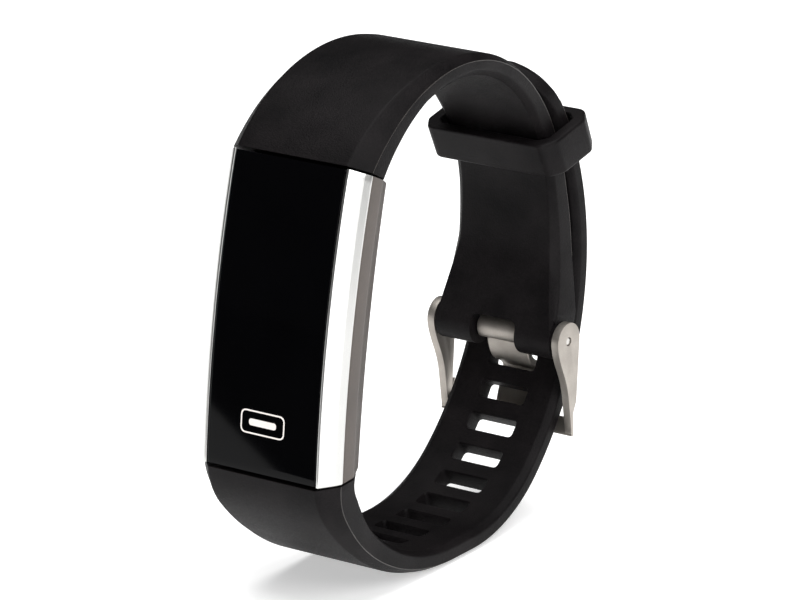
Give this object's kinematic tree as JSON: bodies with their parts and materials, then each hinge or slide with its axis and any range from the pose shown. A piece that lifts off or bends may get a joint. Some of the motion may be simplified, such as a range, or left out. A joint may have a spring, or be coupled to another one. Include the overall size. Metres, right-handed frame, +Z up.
{
  "type": "fitness tracker band",
  "caption": "Closed fitness tracker band: slim module with a curved black lens and bright side rails, slotted rubber strap, pin buckle and free loop.",
  "frame": {"origin": "centre of the bounding box's underside, where the closed band stands on its lower strap", "axes": "+Z up through the loop, +Y from the screen towards the buckle, +X along the wearer's forearm"},
  "size_m": [0.02, 0.0574, 0.0626],
  "materials": {
    "strap_rubber": "matte, fine mould grain",
    "gasket_rubber": "matte",
    "black_glass": "polished, black printed behind",
    "satin_aluminium": "satin, anodised silver",
    "grey_case": "satin grey",
    "blasted_steel": "bead blasted",
    "bright_steel": "turned",
    "gold_contact": "gold plated",
    "circuit_board": "solder mask",
    "battery_pouch": "foil pouch",
    "led_lens": "clear moulding",
    "display_panel": "panel glass, unlit",
    "black_plastic": "moulded"
  },
  "bodies": {
    "band": {"upper_strap": "strap_rubber", "lower_strap": "strap_rubber", "case_body": "grey_case", "rail_right": "satin_aluminium", "rail_left": "satin_aluminium", "front_lens": "black_glass", "touch_electrode": "gold_contact", "display_panel": "display_panel", "main_board": "circuit_board", "processor": "black_plastic", "radio_chip": "black_plastic", "motion_sensor": "black_plastic", "charge_controller": "black_plastic", "battery_cell": "battery_pouch", "vibration_motor_case": "bright_steel", "back_cover": "black_plastic", "cover_gasket": "gasket_rubber", "cover_screw_1": "bright_steel", "cover_screw_2": "bright_steel", "cover_screw_3": "bright_steel", "cover_screw_4": "bright_steel", "charge_contact_left": "gold_contact", "charge_contact_right": "gold_contact", "sensor_window": "black_glass", "sensor_board": "circuit_board", "photodiode": "black_plastic", "sensor_led_top": "led_lens", "sensor_led_bottom": "led_lens", "upper_bar_tube": "bright_steel", "upper_bar_fixed_tip": "bright_steel", "upper_bar_spring": "bright_steel", "lower_bar_tube": "bright_steel", "lower_bar_fixed_tip": "bright_steel", "lower_bar_spring": "bright_steel", "buckle_bar_tube": "bright_steel", "buckle_bar_fixed_tip": "bright_steel", "buckle_bar_spring": "bright_steel"},
    "keeper": {"keeper_loop": "strap_rubber"},
    "buckle": {"buckle_frame": "blasted_steel"},
    "tongue": {"buckle_tongue": "blasted_steel"},
    "motor_rotor": {"vibration_motor_shaft": "bright_steel", "vibration_motor_weight": "bright_steel"},
    "upper_bar_tip": {"upper_bar_sprung_tip": "bright_steel"},
    "lower_bar_tip": {"lower_bar_sprung_tip": "bright_steel"},
    "buckle_bar_tip": {"buckle_bar_sprung_tip": "bright_steel"}
  },
  "joints": [
    {"name": "buckle_swing", "type": "hinge", "parent": "band", "child": "buckle", "pos_m": [0, 0.02063, 0.02208], "axis": [1, 0, 0], "range_deg": [0, 2.5]},
    {"name": "tongue_lift", "type": "hinge", "parent": "buckle", "child": "tongue", "pos_m": [0, 0.02063, 0.02208], "axis": [1, 0, 0], "range_deg": [0, 1.5]},
    {"name": "keeper_travel", "type": "hinge", "parent": "band", "child": "keeper", "pos_m": [0, -0.00083, 0.03669], "axis": [1, 0, 0], "range_deg": [-2, 16]},
    {"name": "motor_spin", "type": "hinge", "parent": "band", "child": "motor_rotor", "pos_m": [-0.0022, -0.02004, 0.045], "axis": [0, 0.982, -0.1891], "continuous": true},
    {"name": "upper_bar_tip_travel", "type": "slide", "parent": "band", "child": "upper_bar_tip", "axis": [-1, 0, 0], "range_m": [0, 0.001], "stiffness_N_per_m": 1500, "deforming": ["upper_bar_spring"]},
    {"name": "lower_bar_tip_travel", "type": "slide", "parent": "band", "child": "lower_bar_tip", "axis": [-1, 0, 0], "range_m": [0, 0.001], "stiffness_N_per_m": 1500, "deforming": ["lower_bar_spring"]},
    {"name": "buckle_bar_tip_travel", "type": "slide", "parent": "band", "child": "buckle_bar_tip", "axis": [-1, 0, 0], "range_m": [0, 0.001], "stiffness_N_per_m": 1500, "deforming": ["buckle_bar_spring"]}
  ]
}
